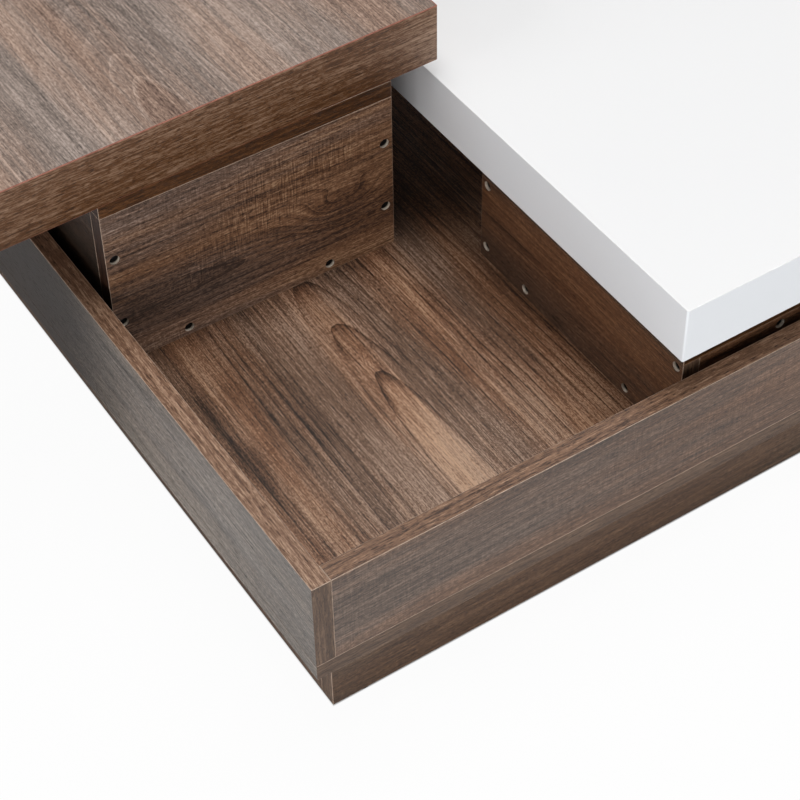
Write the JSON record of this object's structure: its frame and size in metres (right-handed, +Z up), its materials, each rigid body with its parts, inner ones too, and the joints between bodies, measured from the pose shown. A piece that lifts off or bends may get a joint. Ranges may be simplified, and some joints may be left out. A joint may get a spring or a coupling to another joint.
{
  "type": "swivel coffee table",
  "caption": "Square coffee table: an open plinth tray in walnut with a low and a tall pier, which carry a white rectangular top and a walnut square top that swivel level on plate bearings.",
  "frame": {"origin": "centre of the square base's footprint, on the floor", "axes": "+Z up; the low pier stands in the +X -Y corner and the tall pier in the -X +Y corner; the walnut top's rest turn is 1.2 degrees past square"},
  "size_m": [0.9113, 0.901, 0.332],
  "materials": {
    "walnut_board": "walnut grain laminate on board, satin",
    "walnut_top": "walnut grain laminate skin and edge band, satin",
    "white_gloss": "white lacquered board, gloss",
    "raw_board": "bare particle board",
    "paper_core": "brown paper honeycomb",
    "steel": "zinc plated, dull",
    "ball_steel": "polished",
    "glide_plastic": "black, matte"
  },
  "bodies": {
    "base": {"block_screws": "steel", "cap_screws": "steel", "corner_blocks": "raw_board", "floor_screws": "steel", "glides": "glide_plastic", "low_balls": "ball_steel", "low_cap": "walnut_board", "low_case_screws": "steel", "low_floor": "walnut_board", "low_hub": "steel", "low_lap_far": "walnut_board", "low_lap_near": "walnut_board", "low_lid": "walnut_board", "low_lower_plate": "steel", "low_side_far": "walnut_board", "low_side_near": "walnut_board", "lower_plate_screws": "steel", "plinth_back": "walnut_board", "plinth_front": "walnut_board", "plinth_left": "walnut_board", "plinth_middle": "walnut_board", "plinth_right": "walnut_board", "tall_balls": "ball_steel", "tall_cap": "walnut_board", "tall_case_screws": "steel", "tall_floor": "walnut_board", "tall_hub": "steel", "tall_lap_far": "walnut_board", "tall_lap_near": "walnut_board", "tall_lid": "walnut_board", "tall_lower_plate": "steel", "tall_side_far": "walnut_board", "tall_side_near": "walnut_board", "tray_floor": "walnut_board", "wall_back": "walnut_board", "wall_front": "walnut_board", "wall_left": "walnut_board", "wall_right": "walnut_board"},
    "white_top": {"white_block": "raw_board", "white_carrier": "walnut_board", "white_cross_rails": "raw_board", "white_edge_band": "white_gloss", "white_honeycomb": "paper_core", "white_long_rails": "raw_board", "white_lower_skin": "white_gloss", "white_top_screws": "steel", "white_upper_skin": "white_gloss", "low_upper_plate": "steel", "low_upper_screws": "steel"},
    "walnut_top": {"walnut_block": "raw_board", "walnut_carrier": "walnut_board", "walnut_cross_rails": "raw_board", "walnut_edge_band": "walnut_top", "walnut_honeycomb": "paper_core", "walnut_long_rails": "raw_board", "walnut_lower_skin": "walnut_top", "walnut_top_screws": "steel", "walnut_upper_skin": "walnut_top", "tall_upper_plate": "steel", "tall_upper_screws": "steel"}
  },
  "joints": [
    {"name": "white_swivel", "type": "hinge", "parent": "base", "child": "white_top", "pos_m": [0.15, -0.15, 0.1975], "axis": [0, 0, 1], "range_deg": [-273, 3]},
    {"name": "walnut_swivel", "type": "hinge", "parent": "base", "child": "walnut_top", "pos_m": [-0.15, 0.15, 0.2635], "axis": [0, 0, 1], "continuous": true}
  ]
}
